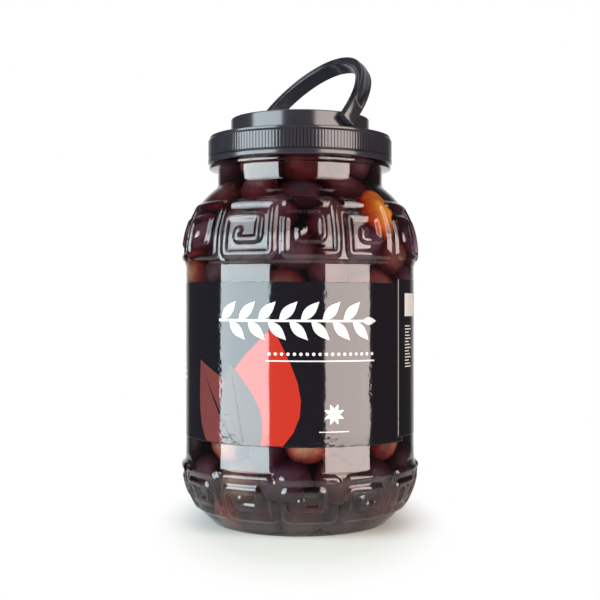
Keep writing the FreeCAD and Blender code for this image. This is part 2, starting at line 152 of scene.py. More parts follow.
def dense(points, spacing):
    """Adds points, so that no stretch is longer than spacing(height) asks."""
    filled = [points[0]]
    for start, end in zip(points, points[1:]):
        length = math.dist(start, end)
        pieces = max(1, math.ceil(length / spacing((start[1] + end[1]) / 2)))
        for piece in range(1, pieces + 1):
            filled.append(tuple(Vector(start).lerp(Vector(end), piece / pieces)))
    return filled


print("points on a rounded corner:", len(rounded([(0, 0), (2, 0, 1), (2, 2)])) - 2)

# %% Spin a section
SECTORS, WELD = 10, 0.01
ABOUT_AXIS = {"cent": (0, 0, 0), "axis": (0, 0, 1)}


def only(kind, made):
    """The points, edges or faces among what an operator made."""
    return [item for item in made if isinstance(item, kind)]


def turn_round(points, columns):
    """Turns a half section once round the upright axis, with a number of columns of points."""
    bm = bmesh.new()
    column = [bm.verts.new((radius, 0, height)) for radius, height in points]
    edges = [bm.edges.new(pair) for pair in zip(column, column[1:])]
    sector = FULL_TURN / SECTORS
    bmesh.ops.spin(bm, geom=column + edges, angle=sector, steps=columns // SECTORS, **ABOUT_AXIS)
    one_sector = list(bm.verts) + list(bm.edges) + list(bm.faces)
    for number in range(1, SECTORS):
        copied = only(BMVert, bmesh.ops.duplicate(bm, geom=one_sector)["geom"])
        place = Matrix.Rotation(sector * number, 3, "Z")
        bmesh.ops.rotate(bm, verts=copied, cent=(0, 0, 0), matrix=place)
    bmesh.ops.remove_doubles(bm, verts=bm.verts, dist=WELD)
    bmesh.ops.recalc_face_normals(bm, faces=bm.faces)
    return bm


print("sectors in a full turn:", SECTORS)

# %% From a mesh to a piece


def add_mesh(bm, other):
    """Adds a second mesh to the first through a carrier, and frees it."""
    carrier = bpy.data.meshes.new("carrier")
    other.to_mesh(carrier)
    other.free()
    bm.from_mesh(carrier)
    bpy.data.meshes.remove(carrier)


def add_object(name, data):
    """An object of its own for a mesh, a lamp or a camera, put into the scene."""
    made = bpy.data.objects.new(name, data)
    bpy.context.scene.collection.objects.link(made)
    return made


def make_piece(bm, name, materials, body, stands_for, sharp=40):
    """Scales a mesh to metres, shades it, and hangs it on its body in place of its solid."""
    bmesh.ops.scale(bm, vec=(MM, MM, MM), verts=bm.verts)
    for edge in bm.edges:
        edge.smooth = edge.calc_face_angle(0) < math.radians(sharp)
    for face in bm.faces:
        face.smooth = True
    mesh = bpy.data.meshes.new(name)
    bm.to_mesh(mesh)
    bm.free()
    for material in materials:
        mesh.materials.append(material)
    piece = add_object(name, mesh)
    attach(piece, body)
    if stands_for:
        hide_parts(stands_for)
    print(f"{name}: {len(mesh.vertices)} vertices, {len(mesh.polygons)} faces")
    return piece


print("a millimetre is", MM, "m in every piece")

# %% [markdown]
# ## PET, blow-moulded
# The jar is stretch-blown PET: clear as glass, with an IOR of 1.57 and a wall about a millimetre
# thick. Real light reaches the olives through it, but tracing every shadow through refraction is
# slow and noisy. So rays that only carry light pass straight through, and rays that the eye follows
# are bent and mirrored as they should be.
#
# Where the wall is wet, light leaves PET for brine and not for air, so the inside has its own IOR:
# 1.57 over 1.34. With 1.57 there as well, the wall would mirror twice and hide the olives.

# %% Clear PET
PET_IOR, BRINE_IOR = 1.57, 1.34


def let_light_by(tree, shader, colour):
    """The shader for rays that the eye follows, and a clear tint for rays that only carry light."""
    rays = add_node(tree, "LightPath").outputs
    sockets = {0: rays["Is Shadow Ray"], 1: rays["Is Diffuse Ray"]}
    carries = add_node(tree, "Math", sockets, operation="MAXIMUM")
    clear = add_node(tree, "BsdfTransparent", {"Color": linear(colour)})
    sockets = {0: carries, 1: shader, 2: clear}
    return add_node(tree, "MixShader", sockets)


def make_pet(name, ior):
    """Blow-moulded PET: clear, glossy, hardly tinted, so the eye sees its highlights and its edges."""
    material, tree = start_material(name)
    space = add_node(tree, "TexCoord").outputs["Object"]
    waves = add_node(tree, "TexNoise", {"Vector": space, "Scale": 1 / (22 * MM), "Detail": 0.0})
    bump = add_node(tree, "Bump", {"Height": waves, "Strength": 0.15, "Distance": 0.6 * MM})
    skin = {"Base Color": linear("FBF7F6"), "Roughness": 0.03, "IOR": ior, "Transmission Weight": 1.0}
    pet = add_node(tree, "BsdfPrincipled", {**skin, "Normal": bump})
    add_node(tree, "OutputMaterial", {"Surface": let_light_by(tree, pet, "F6F3F2")})
    return material


pet = make_pet("PET_blow_moulded", PET_IOR)
wetted_pet = make_pet("PET_wetted_by_brine", PET_IOR / BRINE_IOR)
print("IOR of the dry wall and of the wetted one:", PET_IOR, round(PET_IOR / BRINE_IOR, 3))

# %% [markdown]
# ## The jar
# Its section rises from the ring it stands on, round the heel, past a straight panel for the label,
# over the shoulder and up the neck to the carrying flange. The inside follows at wall thickness.
# Rows lie closer where the relief comes, so that the spirals have enough points to stand on.

# %% The jar's section
DOME = ((0, 9.0), (30, 7.4), (44, 3.2))
FOOT_IN, FOOT_OUT, HEEL = 50.5, 54.8, (57.67, 3.0)
HEEL_CURVE, SHOULDER_CURVE, NECK_CURVE, NECK_HOLLOW = 43.9, 51.5, 4.5, 1.5
BAND, PANEL = 73.8, 72.5
LOW_BAND, PANEL_LOW, PANEL_HIGH, SHOULDER = 37.0, 40.6, 161.2, 169.8
LOW_EDGE, HIGH_EDGE = PANEL_LOW - 2.0, PANEL_HIGH + 2.0
NECK, NECK_LOW, FLANGE, FLANGE_LOW, FLANGE_HIGH = 52.4, 213.466, 57.9, 222.866, 224.966
FINISH, BORE, RIM = 53.6, 51.0, 241.866
WALL, BASE_WALL = 1.0, 1.6
RELIEF_LOW, RELIEF_HIGH = (10.2, 38.4), (164.8, 199.6)
COLUMNS, INNER_COLUMNS, ROW, WIDE_ROW = 640, 100, 0.95, 30


def shoulder_point(skin, height):
    """A point of the shoulder's curve at a height, under a skin of some thickness."""
    curve = SHOULDER_CURVE - skin
    return BAND - SHOULDER_CURVE + math.sqrt(curve * curve - (height - SHOULDER) ** 2), height


def shoulder_end(skin):
    """Where the shoulder's curve meets the hollow under the neck."""
    radius = NECK + NECK_HOLLOW
    return radius, SHOULDER + math.sqrt((SHOULDER_CURVE - skin) ** 2 - (radius - BAND + SHOULDER_CURVE) ** 2)


def outside_section():
    corners = [*DOME, (FOOT_IN, 0, 1.2), (FOOT_OUT, 0, 1.4), HEEL]
    corners += bend(HEEL, (BAND, LOW_BAND), HEEL_CURVE, 14)
    corners += [(BAND, LOW_EDGE, 0.7), (PANEL, PANEL_LOW, 0.9), (PANEL, PANEL_HIGH, 0.9)]
    corners += [(*shoulder_point(0, HIGH_EDGE), 0.7)]
    start = shoulder_point(0, HIGH_EDGE + 0.8)
    corners += [start] + bend(start, shoulder_end(0), SHOULDER_CURVE, 20)
    corners += bend(shoulder_end(0), (NECK, NECK_LOW), -NECK_CURVE, 4)
    corners += [(NECK, FLANGE_LOW, 0.6), (FLANGE, FLANGE_LOW, 0.7), (FLANGE, FLANGE_HIGH, 0.7)]
    corners += [(FINISH, FLANGE_HIGH, 0.5), (FINISH, RIM, 0.6)]
    return rounded(corners + [(BORE, RIM)])[:-1]


def inside_section(skin=WALL, floor=BASE_WALL, top=RIM, bore=BORE):
    """The inside of the jar from its middle up. A skin below the wall's reaches into the wall."""
    heel_drop = LOW_BAND - HEEL[1] - floor
    heel_radius = BAND - HEEL_CURVE + math.sqrt((HEEL_CURVE - skin) ** 2 - heel_drop**2)
    heel = (heel_radius, HEEL[1] + floor)
    corners = [(radius, height + floor) for radius, height in DOME]
    corners += [(FOOT_IN, floor), (FOOT_OUT - skin, floor, 1.0), heel]
    corners += bend(heel, (BAND - skin, LOW_BAND), HEEL_CURVE - skin, 12)
    corners += [(BAND - skin, LOW_EDGE), (PANEL - skin, PANEL_LOW), (PANEL - skin, PANEL_HIGH)]
    start = shoulder_point(skin, HIGH_EDGE)
    corners += [start] + bend(start, shoulder_end(skin), SHOULDER_CURVE - skin, 18)
    corners += [(bore, NECK_LOW), (bore, top)]
    return rounded(corners)


def row_spacing(height):
    """Close rows on the two bands, wide ones elsewhere."""
    on_band = any(low - 2 < height < high + 2 for low, high in (RELIEF_LOW, RELIEF_HIGH))
    return ROW if on_band else WIDE_ROW


skin_rows = dense(outside_section(), row_spacing)
jar_mesh = turn_round(skin_rows, COLUMNS)
print("rows outside:", len(skin_rows), "triangles outside:", 2 * len(skin_rows) * COLUMNS)

# %% [markdown]
# ## The square spirals
# Twelve square spirals stand out of each band. On the real mould they are cut as grooves, so they
# come out as rounded ridges. Here each point of the skin moves outwards by an amount that depends
# only on its distance to the spiral's middle line: full height on the line, falling like an arch to
# nothing at the ridge's foot. It keeps one even skin with no seams. The mould's two halves leave a
# hair-thin line up each side, and one column of points is raised for it.

# %% Measure the spirals
SPIRALS, PHASE, SPIRAL_GAP = 12, 5.2, 2.6
RIDGE_HEIGHT, RIDGE_WIDTH, RIDGE_REACH, PITCH = 1.5, 4.2, 2.75, 8.6
OUTER_ROUND, INNER_ROUND, TIP_ROUND = 3.0, 2.6, 1.2
CELL = 360 / SPIRALS
HALF_SPIRAL = math.radians(CELL / 2 - SPIRAL_GAP / 2)
# each band's lowest and highest point, the radius of its curve, and the height of its widest point
BANDS = ((RELIEF_LOW, HEEL_CURVE, LOW_BAND), (RELIEF_HIGH, SHOULDER_CURVE, SHOULDER))


def spiral_line(low, high):
    """The middle line of one spiral as (share of half the width, height), with soft corners."""
    half_width = HALF_SPIRAL * BAND
    rise, middle = (high - low) / 2, (high + low) / 2
    up_pitch = PITCH * rise / half_width
    right, top = half_width - RIDGE_WIDTH / 2, rise - RIDGE_WIDTH / 2
    in_right, in_top = right - PITCH, top - up_pitch
    tip = -in_top + up_pitch * 0.55
    way = [(-right, top), (right, top, OUTER_ROUND), (right, -top, OUTER_ROUND)]
    way += [(-right, -top, OUTER_ROUND), (-right, in_top, OUTER_ROUND), (in_right, in_top, INNER_ROUND)]
    way += [(in_right, -in_top, INNER_ROUND), (-in_right, -in_top, INNER_ROUND)]
    way += [(-in_right, tip, TIP_ROUND), (-in_right + 1.5, tip + 0.8)]
    return [(across / half_width, middle + up) for across, up in rounded(way, 6)]


def distance_to(line, places, half_width):
    """How far each place lies from a line, which is half_width wide at that place's height."""
    nearest = np.full(len(places), 1e9)
    for start, end in zip(line, line[1:]):
        first = np.column_stack((start[0] * half_width, np.full(len(places), start[1])))
        last = np.column_stack((end[0] * half_width, np.full(len(places), end[1])))
        way = last - first
        share = np.clip(((places - first) * way).sum(1) / np.maximum((way * way).sum(1), 1e-9), 0, 1)
        nearest = np.minimum(nearest, np.linalg.norm(places - first - share[:, None] * way, axis=1))
    return nearest


print("half a spiral's width on the band:", round(HALF_SPIRAL * BAND, 2), "mm")

# %% Raise the spirals
PARTING_TURN, PARTING_HEIGHT = 57.0, 0.22


def raise_relief(bm):
    """Moves the outer skin of both bands out along its own normal."""
    bm.verts.ensure_lookup_table()
    places = np.array([vert.co for vert in bm.verts])
    radius, height = np.hypot(places[:, 0], places[:, 1]), places[:, 2]
    from_front = np.degrees(np.arctan2(places[:, 0], -places[:, 1]))
    in_cell = np.radians((from_front - PHASE + CELL / 2) % CELL - CELL / 2)
    moved = 0
    for (low, high), curve, level in BANDS:
        off_level = height - level
        if level == LOW_BAND:
            off_level = np.minimum(off_level, 0)
        skin = BAND - curve + np.sqrt(np.maximum(curve**2 - off_level**2, 0))
        chosen = np.flatnonzero((np.abs(radius - skin) < 0.3) & (height > low - 2) & (height < high + 2))
        spots = np.column_stack((in_cell[chosen] * skin[chosen], height[chosen]))
        nearest = distance_to(spiral_line(low, high), spots, HALF_SPIRAL * skin[chosen])
        lift = RIDGE_HEIGHT * (1 - np.minimum(nearest / RIDGE_REACH, 1) ** 2)
        for index, amount in zip(chosen, lift):
            vert = bm.verts[index]
            flat = Vector((vert.co.x, vert.co.y, 0)).normalized()
            tilt = off_level[index] / curve
            vert.co += (flat * math.sqrt(1 - tilt * tilt) + Vector((0, 0, tilt))) * amount
        moved += int((lift > 0.05).sum())
    return moved


def push_out(vert, amount):
    """Moves a point straight away from the upright axis."""
    radius = math.hypot(vert.co.x, vert.co.y)
    vert.co.x *= (radius + amount) / radius
    vert.co.y *= (radius + amount) / radius


def raise_parting_line(bm):
    """Raises the columns where the mould's halves met, on the outside and clear of the label."""
    half_column = 180 / COLUMNS
    for vert in bm.verts:
        from_front = math.degrees(math.atan2(vert.co.x, -vert.co.y))
        off_line = abs((from_front - PARTING_TURN + 90) % 180 - 90)
        bare = HEEL[1] < vert.co.z < PANEL_LOW + 0.1 or PANEL_HIGH - 0.1 < vert.co.z < NECK_LOW
        if off_line < half_column and bare:
            push_out(vert, PARTING_HEIGHT)


print("points raised:", raise_relief(jar_mesh))
raise_parting_line(jar_mesh)

# %% Line it with the inner skin
FILL_LEVEL = 236.0
inner_skin = turn_round(inside_section(), INNER_COLUMNS)
for face in inner_skin.faces:
    face.material_index = 1 if face.calc_center_median().z < FILL_LEVEL else 0
add_mesh(jar_mesh, inner_skin)
bmesh.ops.bridge_loops(jar_mesh, edges=[edge for edge in jar_mesh.edges if edge.is_boundary])
bmesh.ops.recalc_face_normals(jar_mesh, faces=jar_mesh.faces)
make_piece(jar_mesh, "jar_shell", [pet, wetted_pet], "tub", "jar", sharp=60)

# %% [markdown]
# ## Olives and brine
# What fills the jar is three pieces. The brine is a clear liquid with a wine-dark tint that deepens
# with distance, so its outside reaches a little way into the wall and no air gap shows. The olives
# are real meshes, pressed against the wall as they are in a full jar. A dark core stands in the
# middle, where no light comes back from anyway.

# %% Brine
INTO_WALL, BRINE_COLUMNS = 0.4, 160


def make_brine_material():
    """Brine stained by ripe olives: clear in a thin film, deep wine red in the gaps.

    Its surface lies inside the wall and is no border of its own, so its IOR is 1 and all of its look
    comes from what it absorbs.
    """
    material, tree = start_material("brine_wine_dark")
    skin = {"Base Color": linear("FAF4F5"), "Roughness": 0.0, "IOR": 1.0, "Transmission Weight": 1.0}
    surface = let_light_by(tree, add_node(tree, "BsdfPrincipled", skin), "FAF4F5")
    stain = add_node(tree, "VolumeAbsorption", {"Color": linear("DA3C8B"), "Density": 140.0})
    add_node(tree, "OutputMaterial", {"Surface": surface, "Volume": stain})
    return material


filled = inside_section(WALL - INTO_WALL, BASE_WALL - INTO_WALL, FILL_LEVEL, BORE + INTO_WALL)
brine_mesh = turn_round(dense(filled + [(0, FILL_LEVEL)], lambda height: 20), BRINE_COLUMNS)
make_piece(brine_mesh, "brine", [make_brine_material()], "tub", "contents")

# %% The dark middle
CORE_DEPTH, CORE_LOW, CORE_HIGH, CORE_COLUMNS = 27.0, 22.0, FILL_LEVEL - 14, 60


def make_core_material():
    """The shaded middle of the filling: dull and nearly black, so gaps look deep."""
    material = start_material("shaded_olives_inside")[0]
    return finish_material(material, {"Base Color": linear("4A3438"), "Roughness": 0.9})


core_section = [
    (radius - CORE_DEPTH, max(height, CORE_LOW))
    for radius, height in inside_section(top=CORE_HIGH)
    if radius > CORE_DEPTH
]
core_mesh = turn_round([(0, CORE_LOW)] + core_section + [(0, CORE_HIGH)], CORE_COLUMNS)
make_piece(core_mesh, "olives_shaded_core", [make_core_material()], "tub", "contents")

# %% [markdown]
# ## Packing the olives
# Olives in a jar aren't placed on a grid: they fall, turn and jam. A small relaxation does the same.
# Each olive is three balls in a row. Where balls of two olives overlap, both step apart; where one
# pokes through the wall, it steps back; and a light push outwards keeps them against the wall, where
# they are seen. The random numbers have a seed, so every run packs the same jar.

# %% Where each olive starts
OLIVES = 232
NEAR_WALL, SECOND_ROW = 13.0, 30.0
random = np.random.default_rng(41)

# turn from the front in degrees, height, and colour of the olives that stand out through the wall
STANDING_OUT = [
    (44, 198, "B4962C"), (-10, 211, "4A4038"), (-34, 207, "402A2A"), (-62, 163, "70583A"),
    (38, 156, "564644"), (14, 156, "38282E"), (-51, 47, "7E6A50"), (6, 47, "8C7458"),
    (52, 49, "745C46"), (-30, 27, "463E2C"), (9, 24, "2C2422"), (45, 25, "3E3024"),
    (-58, 24, "5A4632"), (66, 172, "543A30"), (20, 206, "301E22"),
]

wall_line = np.array(dense(inside_section(top=FILL_LEVEL), lambda height: 6))
slender = random.uniform(11.0, 12.8, OLIVES)
long_half = slender * random.uniform(1.16, 1.34, OLIVES)
turn = random.uniform(0, 360, OLIVES)
level = random.uniform(14, FILL_LEVEL - 12, OLIVES)
for number, (spot_turn, spot_level, _) in enumerate(STANDING_OUT):
    turn[number], level[number] = spot_turn, spot_level
wall_there = np.interp(level, wall_line[2:, 1], wall_line[2:, 0])
inwards = random.choice([NEAR_WALL, NEAR_WALL, SECOND_ROW], OLIVES)
inwards[: len(STANDING_OUT)] = NEAR_WALL
start_radius = np.maximum(wall_there - inwards, 5)
front = np.radians(turn)
centres = np.column_stack((start_radius * np.sin(front), -start_radius * np.cos(front), level))
lean = random.normal(0, 0.8, OLIVES)
outwards = np.column_stack((np.sin(front), -np.cos(front), np.zeros(OLIVES)))
sideways = np.column_stack((np.cos(front), np.sin(front), np.zeros(OLIVES)))
upright = np.array([0.0, 0.0, 1.0])
axes = sideways * np.cos(lean)[:, None] + upright * np.sin(lean)[:, None]
axes += outwards * random.normal(0, 0.25, (OLIVES, 1))
axes /= np.linalg.norm(axes, axis=1)[:, None]
print("olives:", OLIVES, "half length:", long_half.min().round(1), "to", long_half.max().round(1), "mm")

# %% How they push each other
END_BALL, APART_SHARE, BACK_SHARE = 0.84, 0.22, 0.5
BALL_PLACE = np.array([-1.0, 0.0, 1.0])
BALL_SIZE = np.array([END_BALL, 1.0, END_BALL])


def balls():
    """Centres and radii of the three balls of every olive."""
    reach = (long_half - slender * END_BALL)[:, None] * BALL_PLACE
    return centres[:, None] + axes[:, None] * reach[..., None], slender[:, None] * BALL_SIZE


def step_apart():
    """One round: every overlapping pair steps apart by a share of the overlap."""
    places, sizes = balls()
    shift = np.zeros((OLIVES, 3))
    for one in range(3):
        for other in range(3):
            way = places[:, None, one] - places[None, :, other]
            gap = np.linalg.norm(way, axis=2) + np.eye(OLIVES) * 1e6
            overlap = np.maximum(sizes[:, None, one] + sizes[None, :, other] - gap, 0)
            shift += (way / gap[..., None] * overlap[..., None]).sum(1) * APART_SHARE
    return shift


def step_from_wall():
    """One round: what is nearer to the wall than its own size steps back in, and under the level."""
    places, sizes = balls()
    shift = np.zeros((OLIVES, 3))
    rows = np.arange(OLIVES)
    starts, ways = wall_line[:-1], np.diff(wall_line, axis=0)
    lengths = (ways * ways).sum(1)
    for one in range(3):
        flat = places[:, one]
        radius = np.hypot(flat[:, 0], flat[:, 1])
        here = np.column_stack((radius, flat[:, 2]))
        share = np.clip(((here[:, None] - starts) * ways).sum(2) / lengths, 0, 1)
        away = here[:, None] - (starts + share[..., None] * ways)
        gaps = np.linalg.norm(away, axis=2)
        best = gaps.argmin(1)
        short = np.maximum(sizes[:, one] - gaps[rows, best], 0)[:, None]
        back = away[rows, best] / np.maximum(gaps[rows, best], 1e-6)[:, None] * short
        around = flat[:, :2] / np.maximum(radius, 1e-6)[:, None]
        shift += np.column_stack((around * back[:, :1], back[:, 1])) * BACK_SHARE
        shift[:, 2] -= np.maximum(flat[:, 2] + sizes[:, one] - FILL_LEVEL, 0) * BACK_SHARE
    return shift


overlaps = np.linalg.norm(step_apart(), axis=1).mean()
print("first step, on average:", round(float(overlaps), 1), "mm")

# %% Let them settle
PACKING_ROUNDS, PUSH_ROUNDS = 260, 208
PUSH, HELD, LONGEST_MOVE = 0.25, 0.1, 3

for packing_round in range(PACKING_ROUNDS):
    flat = centres[:, :2] / np.linalg.norm(centres[:, :2], axis=1)[:, None]
    centres[:, :2] += flat * (PUSH if packing_round < PUSH_ROUNDS else 0.0)
    move = step_apart()
    move[: len(STANDING_OUT)] *= HELD
    length = np.linalg.norm(move, axis=1)[:, None]
    centres += move * np.minimum(1, LONGEST_MOVE / np.maximum(length, 1e-6))
    for _ in range(2):
        centres += step_from_wall()
print("last step, on average:", round(float(np.linalg.norm(step_apart(), axis=1).mean()), 3), "mm")

# %% [markdown]
# ## The look of an olive's skin
# Ripe olives run from aubergine to maroon and a few tan ones. Those low in the jar get painted shade:
# their colour is darkened by half. Each carries its own colour on its points, and the material mottles
# it with two noises, one as wide as a bruise and one as fine as the dots on the skin. The stem end has
# a small dark scar with a paler ring.

# %% Olive skins
BRUISE_SHADES = [(0.32, (0.6, 0.52, 0.6, 1)), (0.68, (1.4, 1.32, 1.2, 1))]
DOT_SHADES = [(0.3, (0.86, 0.84, 0.84, 1)), (0.7, (1.12, 1.1, 1.08, 1))]
SCAR_SHADES = [
    (0.0, (0.02, 0.01, 0.008, 1)),
    (0.3, (0.05, 0.02, 0.015, 1)),
    (0.55, (1.25, 1.1, 1.0, 1)),
    (1.0, (1, 1, 1, 1)),
]


def make_olive_material():
    """Cured black olives: matt fruit skin under liquid, mottled, with a scar at the stem end."""
    material, tree = start_material("olive_skin_cured")
    space = add_node(tree, "TexCoord").outputs["Object"]
    tone = add_node(tree, "Attribute", attribute_name="tone")
    near_stem = add_node(tree, "Attribute", attribute_name="from_stem")
    bruise = add_node(tree, "TexNoise", {"Vector": space, "Scale": 1 / (9 * MM), "Detail": 3.0})
    dots = add_node(tree, "TexNoise", {"Vector": space, "Scale": 1 / (1.3 * MM), "Detail": 1.0})
    broad = add_node(tree, "ValToRGB", {0: bruise}, stops=BRUISE_SHADES)
    fine = add_node(tree, "ValToRGB", {0: dots}, stops=DOT_SHADES)
    scar = add_node(tree, "ValToRGB", {0: near_stem.outputs["Fac"]}, stops=SCAR_SHADES)
    mixed = tone.outputs["Color"]
    for layer in (broad, fine, scar):
        sockets = {0: 1.0, 6: mixed, 7: layer}
        multiplied = add_node(tree, "Mix", sockets, data_type="RGBA", blend_type="MULTIPLY")
        mixed = multiplied.outputs[2]
    skin = {"Base Color": mixed, "Roughness": 0.5, "Specular IOR Level": 0.12}
    return finish_material(material, skin, dots, 0.3, 0.15)


olive_skin = make_olive_material()
print("olive skin:", olive_skin.name)

# %% Grow the olives
USUAL_SKINS = ["22191F", "2A1F2A", "322221", "3B2F37", "1E141E", "453029", "37293B", "291E25"]
# painted shade: olives whose centre lies below this height, in mm, have their colour darkened by this factor
PAINTED_SHADE_BELOW, PAINTED_SHADE_FACTOR = 62.0, 0.5
FULLER_END, STEM_DENT = 0.09, 0.06


def grow_olive(centre, axis, slim, half, colour):
    """One olive: a ball drawn out along its axis, a little fuller at one end, with a dented stem."""
    bm = bmesh.new()
    tone = bm.verts.layers.float_color.new("tone")
    from_stem = bm.verts.layers.float.new("from_stem")
    aim = Vector(axis).to_track_quat("Z", "Y").to_matrix().to_4x4()
    roll = Matrix.Rotation(random.uniform(0, math.tau), 4, "Z")
    wide = random.uniform(0.94, 1.04)
    bmesh.ops.create_uvsphere(bm, u_segments=14, v_segments=9, radius=1.0)
    for vert in bm.verts:
        along = vert.co.z
        vert[from_stem] = math.sqrt(1 - min(along, 1) ** 2) if along > 0 else 1.0
        vert[tone] = colour
        full = 1 - FULLER_END * along
        dent = STEM_DENT if along > 0.99 else 0.0
        vert.co = Vector((vert.co.x * slim * full * wide, vert.co.y * slim * full, (along - dent) * half))
    bmesh.ops.transform(bm, matrix=Matrix.Translation(centre) @ aim @ roll, verts=bm.verts)
    return bm


olive_mesh = bmesh.new()
for number in range(OLIVES):
    if number < len(STANDING_OUT):
        skin_colour = linear(STANDING_OUT[number][2])
    else:
        # random tone of each olive, times painted shade for those low in the jar
        shade = random.uniform(0.75, 1.25) * (PAINTED_SHADE_FACTOR if centres[number][2] < PAINTED_SHADE_BELOW else 1.0)
        skin_colour = [c * shade for c in linear(USUAL_SKINS[random.integers(len(USUAL_SKINS))])[:3]] + [1.0]
    centre, slim, half = Vector(centres[number]), slender[number], long_half[number]
    add_mesh(olive_mesh, grow_olive(centre, axes[number], slim, half, skin_colour))
make_piece(olive_mesh, "olives", [olive_skin], "tub", "contents", sharp=180)

# %% [markdown]
# ## The wrap label
# The label is a strip of black plastic film, wound once round the panel and glued down where its
# ends meet. The outer end lies over the inner one, a little to the right of the front, and it was put
# on slightly askew, so that end stands higher. One column of points is spun not quite once round, so
# that the two ends stay apart, and every column is then laid where a length of film that is a little
# longer than the way round has come to.

# %% Label film


def make_film(name, colour):
    """Printed polypropylene film: deep colour under sharp highlights, crumpled here and there."""
    material, tree = start_material(name)
    space = add_node(tree, "TexCoord").outputs["Object"]
    slack = add_node(tree, "TexNoise", {"Vector": space, "Scale": 1 / (16 * MM), "Detail": 3.0})
    crease = add_node(tree, "TexNoise", {"Vector": space, "Scale": 1 / (3.2 * MM), "Detail": 2.0})
    patch = add_node(tree, "TexNoise", {"Vector": space, "Scale": 1 / (34 * MM), "Detail": 0.0})
    where = add_node(tree, "MapRange", {0: patch, 1: 0.44, 2: 0.64, 3: 0.06, 4: 1.0})
    creased = add_node(tree, "Math", {0: crease, 1: where}, operation="MULTIPLY")
    height = add_node(tree, "Math", {0: slack, 1: creased}, operation="ADD")
    skin = {"Base Color": linear(colour), "Roughness": 0.07, "IOR": 1.52}
    return finish_material(material, skin, height, 0.7, 0.16)


black_film = make_film("label_film_black", "110F14")
print("film:", black_film.name)

# %% Wind the label
LABEL_LOW, LABEL_TALL, LABEL_RADIUS = 54.7, 95.4, 72.57
LABEL_THICK, SEAM_TURN, OVERLAP, ASKEW = 0.12, 54.0, 5.0, 2.6
LABEL_COLUMNS, EDGE_ROW, LIFTED = 240, 0.2, LABEL_THICK * 1.5


def soft_step(value, low, high):
    """From 0 at low to 1 at high, level at both ends."""
    share = np.clip((value - low) / (high - low), 0, 1)
    return float(share * share * (3 - 2 * share))


def on_film(radius, from_front, from_outer_end, height):
    """A place on the wound strip. What is further from its outer end, in degrees, lies lower."""
    angle = math.radians(from_front)
    rise = ASKEW * (1 - from_outer_end / 360)
    return Vector((radius * math.sin(angle), -radius * math.cos(angle), height + rise))


def turn_outwards(bm):
    """Turns round every face that looks at the upright axis."""
    bmesh.ops.recalc_face_normals(bm, faces=bm.faces)
    inward = []
    for face in bm.faces:
        middle = face.calc_center_median()
        if face.normal.x * middle.x + face.normal.y * middle.y < 0:
            inward.append(face)
    bmesh.ops.reverse_faces(bm, faces=inward)


def wind_label():
    """The strip as an open sheet, from its outer end at the seam once round and under that end."""
    bm = bmesh.new()
    top = LABEL_LOW + LABEL_TALL
    heights = [LABEL_LOW, LABEL_LOW + EDGE_ROW, LABEL_LOW + LABEL_TALL / 2, top - EDGE_ROW, top]
    column = [bm.verts.new((LABEL_RADIUS, 0, height)) for height in heights]
    edges = [bm.edges.new(pair) for pair in zip(column, column[1:])]
    bmesh.ops.spin(bm, geom=column + edges, angle=FULL_TURN * 0.98, steps=LABEL_COLUMNS, **ABOUT_AXIS)
    bm.verts.ensure_lookup_table()
    for number, vert in enumerate(bm.verts):
        turned = (number // len(heights)) / LABEL_COLUMNS * (360 + OVERLAP)
        radius = LABEL_RADIUS + LIFTED * (1 - soft_step(turned, OVERLAP, OVERLAP * 4))
        vert.co = on_film(radius, SEAM_TURN + turned, turned, vert.co.z)
    turn_outwards(bm)
    return bm


label = make_piece(wind_label(), "wrap_label", [black_film], "tub", "label")
thick = label.modifiers.new("film", "SOLIDIFY")
thick.thickness, thick.offset = LABEL_THICK * MM, 1.0

# %% [markdown]
# ## The print
# The print is flat ink: fields of colour and white line work, all of it generic. Three leaves in two
# reds and a brown fan out at the lower left, a sprig runs across the middle over a row of beads, and
# rules, a rosette and a block fill the rest. Each field starts as one flat face, is cut into narrow
# strips so that it can bend, and is then wound onto the label like the film itself. Inks that lie on
# each other are kept apart by two hundredths of a millimetre, so that they don't flicker.

# %% Fields of ink
INK_RISE, STRIP_WIDE = 0.02, 2.4
RED, DUSTY, BROWN, WHITE, BLACK = range(5)
WHITE_LAYER = 5


def flat_field(bm, corners, ink, layer):
    """One field of ink, in millimetres round from the front and up."""
    made = bm.faces.new([bm.verts.new((across, 0, up)) for across, up in corners])
    made.material_index = ink
    left, right = min(c[0] for c in corners), max(c[0] for c in corners)
    pieces = [made]
    for number in range(1, max(1, int((right - left) / STRIP_WIDE)) + 1):
        geometry = pieces + list({e for f in pieces for e in f.edges})
        geometry += list({v for f in pieces for v in f.verts})
        cut = {"plane_co": (left + number * STRIP_WIDE, 0, 0), "plane_no": (1, 0, 0)}
        result = bmesh.ops.bisect_plane(bm, geom=geometry, dist=1e-5, **cut)
        pieces = only(BMFace, result["geom"])
    for vert in {v for f in pieces for v in f.verts}:
        vert.co.y = layer


def bar(bm, left, right, low, high):
    """A white rule or block."""
    flat_field(bm, [(left, low), (right, low), (right, high), (left, high)], WHITE, WHITE_LAYER)


def leaf(bm, root, length, width, angle, ink=WHITE, layer=WHITE_LAYER):
    """A leaf: two shallow arcs from root to tip."""
    points = []
    for side in (1, -1):
        for step in range(9):
            share = step / 9 if side > 0 else 1 - step / 9
            half = width / 2 * math.sin(math.pi * share) * (1.15 - 0.35 * share)
            points.append((share * length, side * half))
    spread = Matrix.Rotation(math.radians(angle), 2)
    flat_field(bm, [tuple(Vector(root) + spread @ Vector(point)) for point in points], ink, layer)


def bead(bm, centre, radius, corners=12):
    """A white dot."""
    spots = [FULL_TURN * number / corners for number in range(corners)]
    points = [(centre[0] + radius * math.cos(a), centre[1] + radius * math.sin(a)) for a in spots]
    flat_field(bm, points, WHITE, WHITE_LAYER)


print("ink lies", INK_RISE, "mm a layer above the film")

